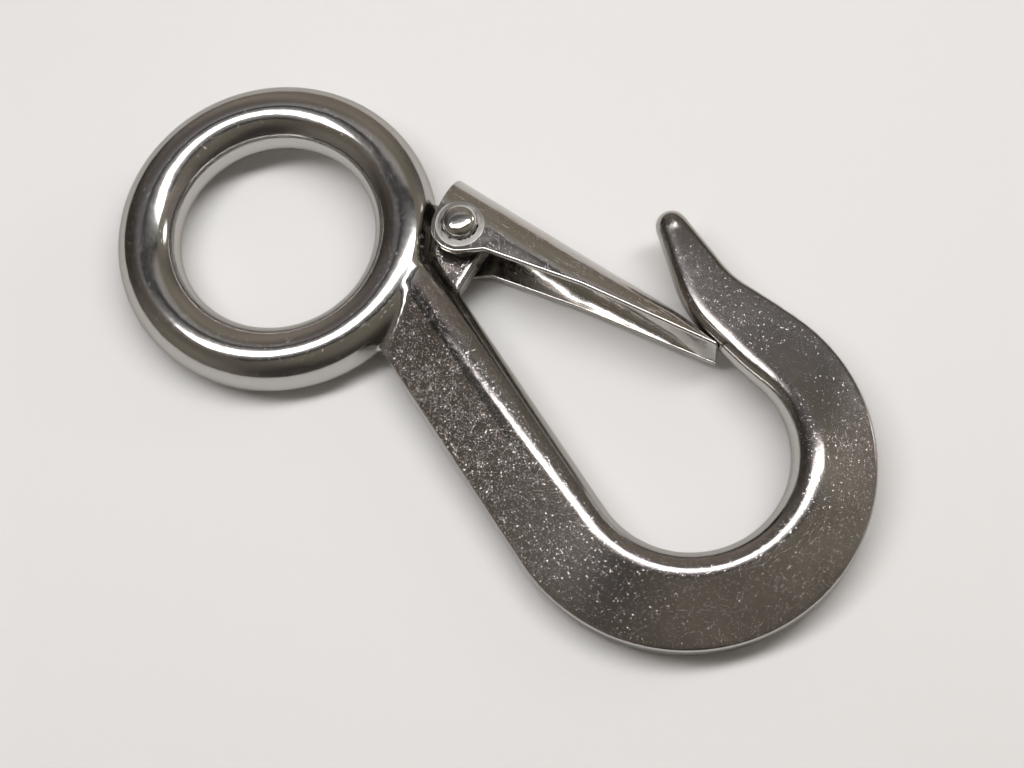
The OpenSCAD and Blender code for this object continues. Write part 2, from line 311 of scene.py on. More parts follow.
def bar_section(across, z, width, thick, crest, ridge, edge, corner):
    """Distance to the bar's section: an oval inner edge, then flat faces to an upright edge."""
    ridge_z, corner_z = thick / 2 - ridge, edge / 2 - corner
    outward = (width / 2 - crest) - across
    height = one("ABSOLUTE", z)
    up = most(height - corner_z, 0.0)
    span, lift = (width - crest) - corner, ridge_z - corner_z
    way = hypot(span, lift)
    along_face = (outward * span - (up - lift) * lift) / way
    above = most((outward * lift + (up - lift) * span) / way, 0.0)
    fall = (ridge - corner) / way
    t = share((along_face - above * fall / one("SQRT", 1.0 - fall * fall)) / way)
    outer = hypot(along_face - way * t, above) - (ridge + (corner - ridge) * t)
    u, v = outward / crest, height / (thick / 2)
    size = most(hypot(u, v), 0.05)
    inner = (size - 1.0) * size / most(hypot(u / crest, v / (thick / 2)), 0.001)
    return outer + (inner - outer) * one("LESS_THAN", outward, 0.0)


def bowl_width(g, angle_round):
    """Width of the bar round the bowl: full until the foot, then falling to the point."""
    mean, half = (g.shank + g.horn) / 2, (g.shank - g.horn) / 2
    if isinstance(angle_round, Formula):
        return mean - half * one("SINE", most(angle_round, 1.5 * math.pi))
    return mean - half * math.sin(max(angle_round, 1.5 * math.pi))


class Measures:
    """The forging's settings in millimetres, and the places worked out from them."""

    def __init__(self, s):
        for key in ForgingSettings.__annotations__:
            value = getattr(s, key)
            plain = key in {"horn_from", "horn_turn", "thin_from", "foot_to", "taper"}
            setattr(self, key, value if plain else value / MM)
        self.eye = EYE_OUTER - self.bar / 2
        self.centre = Vector((self.reach, 0))
        self.lean = math.asin((self.offset + self.bowl + self.shank / 2) / self.reach)
        self.bowl_from = 1.5 * math.pi - self.lean
        self.bowl_to = 2 * math.pi + self.horn_from
        self.shank_end = self.centre + (self.bowl + self.shank / 2) * turned(self.bowl_from)
        self.shank_l = self.shank_end.dot(turned(-self.lean))
        self.shank_start = self.shank_end - self.shank_l * turned(-self.lean)
        self.root_w = bowl_width(self, self.bowl_to)
        self.root_r = self.bowl + self.root_w / 2
        self.horn_start = self.centre + self.root_r * turned(self.horn_from)
        self.thin_bowl = (self.horn_from - self.thin_from) * self.root_r
        self.heading = self.horn_from + math.pi / 2
        self.bend_l = self.horn_bend * self.horn_turn
        self.horn_l = self.horn_root + self.bend_l + self.horn_tip
        self.bend_start = self.horn_start + self.horn_root * turned(self.heading)
        right = turned(self.heading - math.pi / 2)
        self.bend_centre = self.bend_start + self.horn_bend * right
        self.last_heading = self.heading - self.horn_turn
        out = turned(self.last_heading + math.pi / 2)
        self.bend_end = self.bend_centre + self.horn_bend * out
        self.tip_centre = self.bend_end + self.horn_tip * turned(self.last_heading)


def eye_distance(g, x, y, z):
    return hypot(hypot(x, y) - g.eye, z) - g.bar / 2


NECK_END = 0.3  # where the shank's own surface begins, in eye bars from the bar's middle
NECK_RISE = 2 / 3  # length over which it rises to full thickness, in shank widths


def shank_distance(g, x, y, z):
    s, n = along(x, y, g.shank_start, -g.lean)
    crest = g.crest_neck + (g.crest - g.crest_neck) * share(s / g.shank_l)
    from_eye = hypot(x, y) - (g.eye + NECK_END * g.bar)
    thick = g.thick - g.neck_drop * (1.0 - share(from_eye / (NECK_RISE * g.shank)))
    bar = bar_section(n, z, g.shank, thick, crest, g.ridge_shank, g.edge_shank, g.corner)
    return most(bar, -s, s - g.shank_l, -from_eye)


def thinned(g, way):
    """Thickness at the distance on from where the forging begins to thin."""
    done = share(way / (g.thin_bowl + g.thin_to))
    return g.thick - (g.thick - g.horn_thick) / 2 * (1.0 - one("COSINE", done * math.pi))


def bowl_distance(g, x, y, z):
    middle = (g.bowl_from + g.bowl_to) / 2
    s, n = along(x, y, g.centre, middle)
    off = one("ARCTAN2", n, s)
    r = hypot(s, n)
    round_to = off + (middle - 2 * math.pi)
    width = bowl_width(g, off + middle)
    thick = thinned(g, (round_to - g.thin_from) * g.root_r)
    crest = g.crest + (g.crest_root - g.crest) * share(round_to / g.horn_from)
    foot = share((off + (middle - g.bowl_from)) / (g.foot_to - g.bowl_from))
    ridge = least(thick / 2, g.ridge_shank + (g.ridge - g.ridge_shank) * foot)
    edge = g.edge_shank + (g.edge - g.edge_shank) * foot
    bar = bar_section(g.bowl + width / 2 - r, z, width, thick, crest, ridge, edge, g.corner)
    beyond = (one("ABSOLUTE", off) - (g.bowl_to - g.bowl_from) / 2) * r
    return most(bar, beyond)


# The tip's crest, edge and corner, as shares of its diameter.
TIP_CREST, TIP_EDGE, TIP_CORNER = 0.4, 0.8, 0.36
TIP_BLEND = 0.5


def horn_bar(g, n, z, s):
    """Section of the point at the distance s from the bowl."""
    t = share(s / g.horn_l)
    width = g.root_w - (g.root_w - g.tip) * t ** g.taper
    last = share((s - g.thin_to) / (g.horn_l - g.thin_to))
    thick = thinned(g, s + g.thin_bowl) + (g.tip - g.horn_thick) * last
    crest = g.crest_root + (TIP_CREST * g.tip - g.crest_root) * t
    edge = g.edge + (TIP_EDGE * g.tip - g.edge) * t
    corner = g.corner + (TIP_CORNER * g.tip - g.corner) * t
    ridge = least(thick / 2, g.ridge)
    return bar_section(n, z, width, thick, crest, ridge, edge, corner)


def horn_distance(g, x, y, z):
    s1, n1 = along(x, y, g.horn_start, g.heading)
    root = most(horn_bar(g, n1, z, s1), -s1, s1 - g.horn_root)
    a, b = along(x, y, g.bend_centre, g.heading - g.horn_turn / 2 + math.pi / 2)
    off = -one("ARCTAN2", b, a)
    r = hypot(a, b)
    travelled = g.horn_root + (off + g.horn_turn / 2) * g.horn_bend
    beyond = (one("ABSOLUTE", off) - g.horn_turn / 2) * r
    bend = most(horn_bar(g, r - g.horn_bend, z, travelled), beyond)
    s3, n3 = along(x, y, g.bend_end, g.last_heading)
    end = most(horn_bar(g, n3, z, s3 + (g.horn_root + g.bend_l)), -s3, s3 - g.horn_tip)
    ball = hypot(hypot(x - g.tip_centre.x, y - g.tip_centre.y), z) - g.tip / 2
    return least(root, bend, merge(end, ball, TIP_BLEND))


def left_of(x, y, start, end):
    """Distance to the left of the line from start to end."""
    way = end - start
    return along(x, y, start, math.atan2(way.y, way.x))[1]


LUG_SOFT = 0.7  # rounding of the lug's edges
LUG_BLEND = 0.8  # softness of its corner with the body
LUG_ROOT = math.radians(45)  # where round the eye its upper edge begins
LUG_BROW, LUG_SHOULDER = Vector((-0.4, 0.88)), Vector((0.97, 0))  # in end radii from the rivet


def lug_distance(g, x, y, z):
    """Thin web between eye and shank, round about the rivet, with softened edges."""
    pivot = PIVOT.xy
    px, py = x - pivot.x, y - pivot.y
    from_pivot = hypot(px, py)
    root = g.eye * turned(LUG_ROOT)
    brow = pivot + g.lug_end * LUG_BROW
    shoulder = pivot + g.lug_end * LUG_SHOULDER
    above_shank = along(x, y, g.shank_start, -g.lean)[1]
    web = most(
        px - shoulder.x + pivot.x,
        left_of(x, y, root, brow),
        left_of(x, y, brow, shoulder),
        -above_shank,
        g.eye - hypot(x, y),
    )
    flat = least(from_pivot - g.lug_end, web) + LUG_SOFT
    up = one("ABSOLUTE", z) - (g.lug / 2 - LUG_SOFT)
    plate = hypot(most(flat, 0.0), most(up, 0.0)) - LUG_SOFT + least(most(flat, up), 0.0)
    return most(plate, g.bore / 2 - from_pivot)


def hook_distance_group(g):
    """Node group: signed distance in millimetres from the forging's skin."""
    tree, entry, leave = new_group("Forging Distance", "GeometryNodeTree",
                                   {"Position": "Vector"},
                                   {"Distance": "Float", "Eye Distance": "Float"})
    place = split_xyz(tree, entry["Position"])
    eye = eye_distance(g, *place)
    bar = least(shank_distance(g, *place), bowl_distance(g, *place), horn_distance(g, *place))
    whole = merge(merge(eye, bar, g.fillet), lug_distance(g, *place), LUG_BLEND)
    feed(tree, leave["Distance"], whole)
    feed(tree, leave["Eye Distance"], eye)
    return tree


# ---- making pieces


def settings(context):
    return context.scene.sling_hook


def link(obj):
    bpy.context.scene.collection.objects.link(obj)
    return obj


def run_tree(name, tree, values, start=None):
    """Runs a geometry tree once, on a start mesh or on nothing, and returns the plain result."""
    start = start or bpy.data.meshes.new(name + "_start")
    maker = link(bpy.data.objects.new(name + "_maker", start))
    modifier = maker.modifiers.new("Maker", "NODES")
    modifier.node_group = tree
    for item in tree.interface.items_tree:
        if item.item_type == "SOCKET" and item.in_out == "INPUT" and item.name in values:
            modifier[item.identifier] = values[item.name]
    graph = bpy.context.evaluated_depsgraph_get()
    mesh = bpy.data.meshes.new_from_object(maker.evaluated_get(graph))
    maker.modifiers.clear()
    bpy.data.objects.remove(maker)
    mesh.name = name
    if not mesh.polygons:
        raise RuntimeError(name + " came out empty")
    return link(bpy.data.objects.new(name, mesh))


FELT = ((1, -1, -1), (-1, -1, 1), (-1, 1, -1), (1, 1, 1))  # corners of a cube, no two on one edge
REACH = 0.04  # from a point to the places where the distance is felt round it
SETTLES = 3


def settle_on_skin(tree, geometry, distance):
    """Moves each point onto the skin along the distance's slope, felt at four corners."""
    here = tree.nodes.new("GeometryNodeInputPosition").outputs[0]
    total, slope = None, None
    for corner in FELT:
        at = vector_math(tree, "ADD", here, [c * REACH for c in corner])
        felt = add_node(tree, "GeometryNodeGroup", {"Position": at}, node_tree=distance)
        value = Formula(tree, felt.outputs["Distance"])
        part = vector_math(tree, "SCALE", corner, value)
        total = value if total is None else total + value
        slope = part if slope is None else vector_math(tree, "ADD", slope, part)
    steep = Formula(tree, vector_math(tree, "LENGTH", slope))
    step = total * -REACH / most(steep * steep, 1e-6)
    move = vector_math(tree, "SCALE", slope, step)
    return add_node(tree, "GeometryNodeSetPosition",
                    {"Geometry": geometry, "Offset": move}).outputs[0]


def finish_in_metal(tree, geometry, metal, leave):
    """Ends a geometry tree: smooth faces, no instances, and the metal on them."""
    smooth = add_node(tree, "GeometryNodeSetShadeSmooth", {"Geometry": geometry})
    real = add_node(tree, "GeometryNodeRealizeInstances", {0: smooth.outputs[0]})
    done = add_node(tree, "GeometryNodeSetMaterial",
                    {"Geometry": real.outputs[0], "Material": metal})
    feed(tree, leave["Mesh"], done.outputs[0])


def forging_tree(g):
    """Draws the forging's skin round all the cells that lie inside it."""
    distance = hook_distance_group(g)
    tree, entry, leave = new_group(
        "Forging Skin", "GeometryNodeTree",
        {"Low Corner": "Vector", "High Corner": "Vector",
         "Cells X": "Int", "Cells Y": "Int", "Cells Z": "Int", "Metal": "Material"},
        {"Mesh": "Geometry"},
    )
    here = tree.nodes.new("GeometryNodeInputPosition").outputs[0]
    felt = add_node(tree, "GeometryNodeGroup", {"Position": here}, node_tree=distance)
    cube = add_node(tree, "GeometryNodeVolumeCube", {
        "Density": -Formula(tree, felt.outputs["Distance"]), "Background": -10.0,
        "Min": entry["Low Corner"], "Max": entry["High Corner"],
        "Resolution X": entry["Cells X"], "Resolution Y": entry["Cells Y"],
        "Resolution Z": entry["Cells Z"],
    })
    shell = add_node(tree, "GeometryNodeVolumeToMesh", {0: cube.outputs[0], "Threshold": 0.0})
    skin = shell.outputs[0]
    for _ in range(SETTLES):
        skin = settle_on_skin(tree, skin, distance)
    normal = split_xyz(tree, tree.nodes.new("GeometryNodeInputNormal").outputs[0])
    kept = {"eye_distance": felt.outputs["Eye Distance"], "facing": one("ABSOLUTE", normal[2])}
    for name, value in kept.items():
        skin = add_node(tree, "GeometryNodeStoreNamedAttribute",
                        {"Geometry": skin, "Name": name, "Value": value},
                        data_type="FLOAT", domain="POINT").outputs[0]
    scaled = add_node(tree, "GeometryNodeTransform", {"Geometry": skin, "Scale": (MM, MM, MM)})
    finish_in_metal(tree, scaled.outputs[0], entry["Metal"], leave)
    return tree


def mesh_object(name, vertices, faces, metal):
    mesh = bpy.data.meshes.new(name)
    mesh.from_pydata(vertices, [], faces)
    mesh.materials.append(metal)
    mesh.validate()
    mesh.shade_smooth()
    return link(bpy.data.objects.new(name, mesh))


def at_pivot(aim):
    """From the latch's own frame, in millimetres, to the object's frame in metres."""
    return Matrix.Scale(MM, 4) @ Matrix.Translation(PIVOT) @ Matrix.Rotation(aim, 4, "Z")


# ---- latch


class LatchShape:
    """The latch in its own frame: u runs from the rivet to the bearing spot, v towards the back."""

    CHEEK_CENTRE = -0.36  # height of the centre of the cheeks' rounded ends
    NECK_AT = 5.0  # along u, where the rounded end runs out
    STRAIGHT_FROM = 20.0  # along u, where the long edge is straight and the sides draw in
    OVERHANG = 0.4  # past the bearing spot
    DIP_CURVE = 1.3
    PRESSED = (0.75, 0.55, 0.2)  # depth of the seat, and its wall inside and outside the edge

    def __init__(self, s, g):
        for key in LatchSettings.__annotations__:
            setattr(self, key, getattr(s, key) / MM)
        spot = g.horn_start + self.bearing * turned(g.heading)
        t = self.bearing / g.horn_l
        half = (g.root_w - (g.root_w - g.tip) * t ** g.taper) / 2 + self.gap
        bearing = spot + half * turned(g.heading + math.pi / 2)
        way = bearing - PIVOT.xy
        self.reach = way.length
        self.aim = math.atan2(way.y, way.x)
        self.knee_at = self.reach - self.dip
        self.arc_to = self.heel / 2

    def back_at(self, u):
        if u < self.knee_at:
            return self.back + (self.knee - self.back) * u / self.knee_at
        return self.knee * (1 - ((u - self.knee_at) / self.dip) ** self.DIP_CURVE)

    def edge_at(self, u):
        on_arc = min(u, self.arc_to)
        arc = self.CHEEK_CENTRE - math.sqrt(max(0.0, self.heel ** 2 - on_arc ** 2))
        stations = (self.arc_to, self.NECK_AT, self.STRAIGHT_FROM)
        return float(np.interp(u, stations, (arc, -self.neck, -self.drop)))

    def half_width(self, u):
        return float(np.interp(u, (self.STRAIGHT_FROM, self.reach),
                               (self.width / 2, self.tip_width / 2)))

    def section(self, u, inset):
        """Points of the folded sheet's section at u, from the upper cheek to the lower one."""
        half, top, low = self.half_width(u), self.back_at(u), self.edge_at(u)
        rise = min(half, top - low - 0.05)
        foot = top - rise
        height = max(rise - inset, 0.2 * rise)
        straight = np.linspace(low, foot, 16)[:-1]
        turn = np.linspace(0, math.pi, 41)
        side = np.full(len(straight), half - inset)
        z = np.concatenate([side, (half - inset) * np.cos(turn), -side])
        v = np.concatenate([straight, foot + height * np.sin(turn), straight[::-1]])
        return np.column_stack([np.full(len(z), u), v, z])

    def ring(self, u):
        """The sheet's section at u as one closed ring with rounded cut edges."""
        outer, inner = self.section(u, 0.0), self.section(u, self.sheet)
        turn = np.linspace(0, math.pi / 2, 6)
        low, half, r = outer[0, 1], outer[0, 2], self.edge
        v = low + r - r * np.sin(turn)
        z = half - r * (1 - np.cos(turn))
        rim = np.concatenate([np.column_stack([v, z]),
                              np.column_stack([v, 2 * half - self.sheet - z])[::-1]])
        far = np.column_stack([np.full(len(rim), u), rim[:, 0], -rim[:, 1]])
        near = np.column_stack([np.full(len(rim), u), rim[::-1, 0], rim[::-1, 1]])
        keep = outer[1:-1], inner[1:-1]
        sides = [np.where(part[:, 1:2] < low + r, [[u, low + r, 0]] + part * [0, 0, 1], part)
                 for part in keep]
        half_rim = len(rim) // 2
        return np.concatenate([near[half_rim:], sides[0], far, sides[1][::-1],
                               near[:half_rim]])

    def stations(self):
        arc = [-self.heel * math.cos(math.radians(a)) for a in range(0, 120, 4)]
        rest = np.linspace(self.arc_to, self.reach + self.OVERHANG, 110)
        return arc + [float(u) for u in rest]

    def seat_lift(self, points):
        """Presses the flat seat round the rivet out of the curved cheeks."""
        u, v, z = points.T
        r = np.hypot(u, v)
        depth, within, beyond = self.PRESSED
        edge = self.seat / 2
        fall = np.clip((r - edge + within) / (within + beyond), 0, 1)
        seat = SEAT_Z - depth * fall * fall * (3 - 2 * fall)
        inside = (r < edge + beyond) & (np.abs(z) < seat) & (np.abs(z) > 0.3 * self.width)
        lifted = np.where(inside, np.sign(z) * seat, z)
        return np.column_stack([u, v, lifted])


def latch_object(s, g, metal):
    """Skins the folded sheet from closed rings, one at each station along the latch."""
    shape = LatchShape(s, g)
    rings = np.array([shape.seat_lift(shape.ring(u)) for u in shape.stations()])
    m, n = rings.shape[:2]
    points = rings.reshape(-1, 3)
    place = at_pivot(shape.aim)
    faces = [(j * n + i, j * n + (i + 1) % n, (j + 1) * n + (i + 1) % n, (j + 1) * n + i)
             for j in range(m - 1) for i in range(n)]
    last = (m - 1) * n
    for i in range(n // 2 - 1):
        rim = (i, i + 1, n - 2 - i, n - 1 - i)
        faces += [rim[::-1], tuple(last + q for q in rim)]
    latch = mesh_object("safety_latch", [place @ Vector(p) for p in points], faces, metal)
    bm = bmesh.new()
    bm.from_mesh(latch.data)
    bmesh.ops.recalc_face_normals(bm, faces=bm.faces)
    bm.to_mesh(latch.data)
    bm.free()
    latch.data.set_sharp_from_angle(angle=math.radians(40))
    seat = latch.data.attributes.new("seat_distance", "FLOAT", "POINT")
    seat.data.foreach_set("value", np.hypot(points[:, 0], points[:, 1]).astype(np.float32))
    return latch


# ---- rivet and spring


RIM = 0.16  # rounding of the heads' rims
CROWN = (0.6, 1.1)  # powers that flatten the middle of a head's crown and steepen its side


def rivet_profile(s):
    """Half section of the rivet as (radius, height), from the lower pole to the upper one."""
    head, shank = s.head / MM / 2, s.shank / MM / 2

    def cap(height, side):
        """Half of one head, from its pole to the shank."""
        wide, steep = CROWN
        points = [(head * math.sin(a) ** wide, RIM + (height - RIM) * math.cos(a) ** steep)
                  for a in np.linspace(0, math.pi / 2, 25)[:-1]]
        points += [(head - RIM + RIM * math.cos(t), RIM - RIM * math.sin(t))
                   for t in np.linspace(0, math.pi / 2, 5)]
        return [(r, side * (SEAT_Z + z)) for r, z in points + [(shank, 0)]]

    return cap(s.tail / MM, -1) + cap(s.dome / MM, 1)[::-1]


def lathe(name, profile, place, metal, steps=64):
    """Turns a profile that starts and ends on the axis into a closed solid."""
    inner = profile[1:-1]
    turns = [2 * math.pi * k / steps for k in range(steps)]
    vertices = [Vector((0, 0, profile[0][1]))]
    vertices += [Vector((r * math.cos(q), r * math.sin(q), z)) for r, z in inner for q in turns]
    vertices.append(Vector((0, 0, profile[-1][1])))
    last, top = len(vertices) - 1, len(inner) - 1

    def at(j, k):
        return 1 + j * steps + k % steps

    faces = []
    for k in range(steps):
        faces += [(0, at(0, k + 1), at(0, k)), (last, at(top, k), at(top, k + 1))]
        faces += [(at(j, k), at(j, k + 1), at(j + 1, k + 1), at(j + 1, k)) for j in range(top)]
    return mesh_object(name, [place @ v for v in vertices], faces, metal)


def spring_route(s, aim):
    """Centre of the wire from one leg through both coils to the other, in millimetres."""
    wire, coil = s.wire / MM, s.coil / MM
    foot, pitch = s.coil_foot / MM, s.coil_pitch / MM
    to_eye = math.pi + math.atan2(PIVOT.y, PIVOT.x)
    sweep = 2 * math.pi + (to_eye - s.leg_turn - aim) - math.pi / 2
    top = foot + pitch * sweep / (2 * math.pi)

    def coil_at(turn):
        return Vector((-coil * math.sin(turn), coil * math.cos(turn),
                       top - (top - foot) * turn / sweep))

    side = Vector((-math.cos(sweep), -math.sin(sweep), 0))
    half = [coil_at(sweep) + s.leg / MM * side]
    half += [coil_at(sweep * i / 40) for i in range(40, -1, -1)]
    arm = s.arm / MM
    corner = coil_at(0) + Vector((arm - wire, 0, 0))
    half += [corner + wire * Vector((math.sin(q), 0, math.cos(q) - 1))
             for q in np.linspace(0, math.pi / 2, 7)]
    return half + [Vector((p.x, p.y, -p.z)) for p in reversed(half)]


WIRE_STEP = 0.25 * MM


def wire_tree():
    """Draws a round wire along the polyline that it is given."""
    tree, entry, leave = new_group(
        "Wire", "GeometryNodeTree",
        {"Route": "Geometry", "Radius": 0.0, "Metal": "Material"}, {"Mesh": "Geometry"},
    )
    route = add_node(tree, "GeometryNodeMeshToCurve", {0: entry["Route"]})
    spaced = add_node(tree, "GeometryNodeResampleCurve",
                      {"Curve": route.outputs[0], "Length": WIRE_STEP}, mode="LENGTH")
    ring = add_node(tree, "GeometryNodeCurvePrimitiveCircle",
                    {"Resolution": 16, "Radius": entry["Radius"]})
    wire = add_node(tree, "GeometryNodeCurveToMesh",
                    {"Fill Caps": True, "Curve": spaced.outputs[0],
                     "Profile Curve": ring.outputs[0]})
    finish_in_metal(tree, wire.outputs[0], entry["Metal"], leave)
    return tree


# ---- finishes


def noise(tree, vector, scale, **inputs):
    return Formula(tree, add_node(tree, "ShaderNodeTexNoise",
                                  {"Vector": vector, "Scale": scale, **inputs}).outputs[0])


def grain_group():
    """Fine tumbled grain, and a share of tiny facets that lie at small random tilts."""
    tree, entry, leave = new_group("Tumbled Grain", "ShaderNodeTree",
                                   {"Vector": "Vector", "Size": 0.0003, "Amount": 0.1},
                                   {"Grain": "Float", "Facets": "Float"})
    at, scale = entry["Vector"], 1.0 / Formula(tree, entry["Size"])
    feed(tree, leave["Grain"], noise(tree, at, scale * 2.0, Detail=1.0))
    cells = add_node(tree, "ShaderNodeTexVoronoi", {"Vector": at, "Scale": scale}).outputs
    chance = add_node(tree, "ShaderNodeTexWhiteNoise", {"Vector": cells["Position"]})
    thick = ramp(noise(tree, at, scale * 0.08, Detail=3.0, Roughness=0.6), 0.3, 0.7) * 2.0
    often = Formula(tree, entry["Amount"]) * thick
    there = one("LESS_THAN", Formula(tree, chance.outputs["Value"]), often)
    tilt = vector_math(tree, "SUBTRACT", cells["Color"], (0.5, 0.5, 0.5))
    place = vector_math(tree, "SUBTRACT", at, cells["Position"])
    lift = Formula(tree, vector_math(tree, "DOT_PRODUCT", tilt, place))
    feed(tree, leave["Facets"], lift * there)
    return tree


# Each set of scratches: turn, squeeze along them, and scale of the patches where they thin out.
SCRATCH_SETS = ((0.0, 0.035, 150.0), (0.9, 0.05, 220.0))


def scratch_group():
    """Fine straight scratches in two directions, thinned out by a slow pattern."""
    tree, entry, leave = new_group(
        "Fine Scratches", "ShaderNodeTree",
        {"Vector": "Vector", "Width": 0.00012, "Turn": 0.6, "Amount": 0.5}, {"Mask": "Float"},
    )
    width, turn, amount = (Formula(tree, entry[key]) for key in ("Width", "Turn", "Amount"))
    marks = []
    for extra, squeeze, patch_scale in SCRATCH_SETS:
        laid = add_node(tree, "ShaderNodeVectorRotate",
                        {"Vector": entry["Vector"], "Angle": turn + extra},
                        rotation_type="Z_AXIS")
        drawn = vector_math(tree, "MULTIPLY", laid.outputs[0], (squeeze, 1.0, 1.0))
        lines = noise(tree, drawn, 1.0 / width, Detail=0.0)
        patches = noise(tree, entry["Vector"], patch_scale, Detail=1.0)
        level = 0.86 - (patches * 0.12 + amount * 0.1)
        marks.append(ramp(lines, level, level + 0.04))
    feed(tree, leave["Mask"], most(*marks))
    return tree


def handling_group():
    """Slow, cloudy change over the metal from handling and polishing."""
    tree, entry, leave = new_group("Handling", "ShaderNodeTree",
                                   {"Vector": "Vector", "Size": 0.012},
                                   {"Haze": "Float", "Waves": "Float"})
    scale = 1.0 / Formula(tree, entry["Size"])
    haze = noise(tree, entry["Vector"], scale, Detail=4.0)
    feed(tree, leave["Haze"], ramp(haze, 0.35, 0.65))
    feed(tree, leave["Waves"], noise(tree, entry["Vector"], scale * 4.0, Detail=1.0))
    return tree


def shared_group(name, make):
    return bpy.data.node_groups.get(name) or make()


def blended(tree, mask, under, over):
    """Colour that is one colour where the mask is 0 and another where it is 1."""
    return add_node(tree, "ShaderNodeMix", {"Factor": mask, "A": under, "B": over},
                    data_type="RGBA").outputs["Result"]


def shade(rgb, factor):
    """The colour times a factor, or times one for each channel."""
    return tuple(np.multiply(tuple(rgb), factor))


class Metal:
    """A metal's node tree while it is being put together."""

    def __init__(self, name, base):
        self.material = bpy.data.materials.new(name)
        self.material.use_nodes = True
        self.tree = self.material.node_tree
        self.shader = self.tree.nodes["Principled BSDF"]
        self.shader.inputs["Metallic"].default_value = 1.0
        self.base = base
        self.at = self.tree.nodes.new("ShaderNodeTexCoord").outputs["Object"]
        self.bumps = None

    def effect(self, name, make, **values):
        """Places a shared effect on the piece's own coordinates."""
        node = add_node(self.tree, "ShaderNodeGroup", node_tree=shared_group(name, make))
        for key, value in {"Vector": self.at, **values}.items():
            feed(self.tree, node.inputs[key], value)
        return {out.name: Formula(self.tree, out) for out in node.outputs}

    def measured(self, name):
        node = add_node(self.tree, "ShaderNodeAttribute", attribute_name=name)
        return Formula(self.tree, node.outputs["Fac"])

    def tint(self, *mixes):
        """Base colour: each mix is (mask, colour), laid over the one before."""
        last = (*self.base, 1)
        for mask, rgb in mixes:
            last = blended(self.tree, mask, last, (*rgb, 1))
        feed(self.tree, self.shader.inputs["Base Color"], last)

    def rough(self, formula):
        feed(self.tree, self.shader.inputs["Roughness"], least(most(formula, 0.03), 1.0))

    def bump(self, height, distance):
        node = add_node(self.tree, "ShaderNodeBump", {"Distance": distance, "Height": height})
        if self.bumps:
            feed(self.tree, node.inputs["Normal"], self.bumps)
        self.bumps = node.outputs[0]
        feed(self.tree, self.shader.inputs["Normal"], self.bumps)


# Where the forging's finish and its painted shade change, in metres: each pair is where a change
# begins and ends.
SHANK_ALONG, SHANK_ACROSS = (0.066, 0.035), (0.022, 0.018)
# The ridge is the band along the shank's inner crest; its colour is darkened with painted shade
# that dims the lamp's highlight there.
RIDGE_OUT, RIDGE_IN, RIDGE_ALONG = (0.0110, 0.0116), (0.0134, 0.0123), (0.056, 0.042)
# The point's faces are darkened with painted shade that dims the lamp's highlight on them.
POINT_UP, POINT_ALONG = (0.008, 0.020), (0.045, 0.055)
# Haze is a random cloudy tone; the point's and the ridge's colours are painted shade.
HAZE_TONE, POINT_PAINTED_SHADE, RIDGE_PAINTED_SHADE = (0.30, 0.265, 0.26), (0.17, 0.155, 0.15), (0.055, 0.051, 0.049)


def forging_metal(finish, lean):
    """Tumbled faces with fine facets, thickest on the shank; eye and edges are smoother. The point
    and the shank's inner crest are darkened with painted shade, which dims the lamp's highlight
    there.
    """
    metal = Metal("Forging", finish.steel)
    x, y, _ = split_xyz(metal.tree, metal.at)
    facing = metal.measured("facing")
    face = ramp(metal.measured("eye_distance"), 0.5, 1.6) * ramp(facing, 0.72, 0.9)
    crest = ramp(facing, 0.955, 0.99)
    shank = ramp(x, *SHANK_ALONG)
    across = x * math.sin(lean) + y * math.cos(lean)
    low_side = ramp(across, *SHANK_ACROSS)
    ridge = ramp(across, *RIDGE_OUT) * ramp(across, *RIDGE_IN) * ramp(x, *RIDGE_ALONG) * face
    point = ramp(y, *POINT_UP) * ramp(x, *POINT_ALONG)
    facets = 0.07 + crest * 0.05 + (ridge * 0.45 + shank * 0.09) * low_side
    grain = metal.effect("Tumbled Grain", grain_group, Size=0.00012,
                         Amount=facets * face * (1.0 - point * 0.5))
    marks = metal.effect("Fine Scratches", scratch_group, Turn=0.9, Amount=0.1, Width=0.00006)
    hands = metal.effect("Handling", handling_group, Size=0.009)
    metal.rough(0.10 + face * (0.045 + ridge * 0.06 + point * 0.04)
                + hands["Haze"] * 0.02 + marks["Mask"] * 0.06)
    # Base colour: darker faces, random haze, then painted shade on the point and on the shank's
    # inner crest.
    metal.tint((face * 0.7, shade(finish.steel, (0.74, 0.70, 0.69))),
               (hands["Haze"] * face * 0.5, HAZE_TONE),
               (point * face * 0.6, POINT_PAINTED_SHADE), (ridge * 0.92, RIDGE_PAINTED_SHADE))
    metal.shader.inputs["Specular Tint"].default_value = (0.62, 0.60, 0.58, 1.0)
    metal.bump(hands["Waves"], 0.00002)
    metal.bump(grain["Grain"] * (0.4 + face * 0.6), 0.000004)
    metal.bump(grain["Facets"], 0.36)
    metal.bump(-marks["Mask"], 0.000005)
    return metal.material


def latch_metal(finish, seat_edge):
    """Polished sheet with handling marks; the seat round the rivet is matt."""
    metal = Metal("Latch Sheet", finish.sheet)
    grain = metal.effect("Tumbled Grain", grain_group, Size=0.0002)
    marks = metal.effect("Fine Scratches", scratch_group, Turn=0.1, Amount=0.5)
    hands = metal.effect("Handling", handling_group, Size=0.009)
    seat = ramp(metal.measured("seat_distance"), seat_edge + 0.15, seat_edge)
    metal.rough(0.13 + seat * 0.47 + hands["Haze"] * 0.05 + marks["Mask"] * 0.12)
    metal.tint((hands["Haze"] * 0.5, (0.47, 0.43, 0.38)), (seat, (0.35, 0.34, 0.325)))
    metal.bump(hands["Waves"], 0.00005)
    metal.bump(grain["Grain"] * (0.2 + seat * 0.8), 0.000006)
    metal.bump(-marks["Mask"], 0.00001)
    return metal.material


